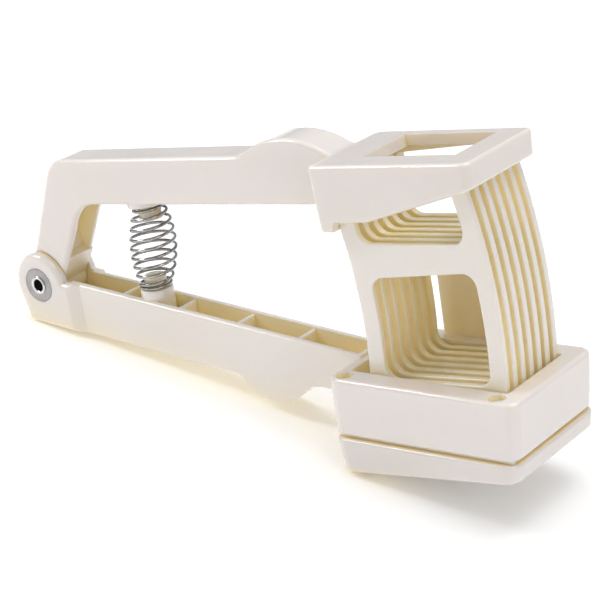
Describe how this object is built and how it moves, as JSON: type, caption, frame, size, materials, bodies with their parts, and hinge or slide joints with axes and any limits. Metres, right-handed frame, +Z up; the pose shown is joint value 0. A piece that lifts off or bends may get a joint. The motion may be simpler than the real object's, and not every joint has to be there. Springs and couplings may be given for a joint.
{
  "type": "egg slicer",
  "caption": "Hand-held squeeze egg slicer: two hinged plastic arms with a return spring push a comb of windowed plates down between blades.",
  "frame": {"origin": "centre of the hinge rivet, on the hinge axis halfway between the cheeks", "axes": "+X from the hinge towards the slicing head, +Y along the hinge axis towards the guard wall, +Z up; the tool lies on its hinge heel and on the rear edge of the blade retainer, open"},
  "size_m": [0.2465, 0.0546, 0.1272],
  "materials": {
    "cream_plastic": "glossy moulded cream plastic, slightly yellowed",
    "plate_plastic": "glossy moulded cream plastic",
    "blade_steel": "bright ground stainless strip",
    "spring_steel": "bright plated wire",
    "rivet_steel": "bright rolled tube rivet",
    "washer_steel": "satin, slightly dulled",
    "screw_steel": "plain bright steel"
  },
  "bodies": {
    "lower": {"lower_handle": "cream_plastic", "blade_retainer": "cream_plastic", "blade_1": "blade_steel", "blade_2": "blade_steel", "blade_3": "blade_steel", "blade_4": "blade_steel", "blade_5": "blade_steel", "blade_6": "blade_steel", "retainer_screws": "screw_steel", "pivot_rivet": "rivet_steel", "pivot_washer_front": "washer_steel", "pivot_washer_rear": "washer_steel", "return_spring": "spring_steel"},
    "upper": {"upper_handle": "cream_plastic", "pusher_plate_1": "plate_plastic", "pusher_plate_2": "plate_plastic", "pusher_plate_3": "plate_plastic", "pusher_plate_4": "plate_plastic", "pusher_plate_5": "plate_plastic", "pusher_plate_6": "plate_plastic", "pusher_plate_7": "plate_plastic"}
  },
  "joints": [
    {"name": "handle_hinge", "type": "hinge", "parent": "lower", "child": "upper", "pos_m": [0, 0, 0], "axis": [0, 1, 0], "range_deg": [0, 18], "stiffness_Nm_per_rad": 3, "springref_deg": -4.58, "deforming": ["return_spring"]}
  ]
}
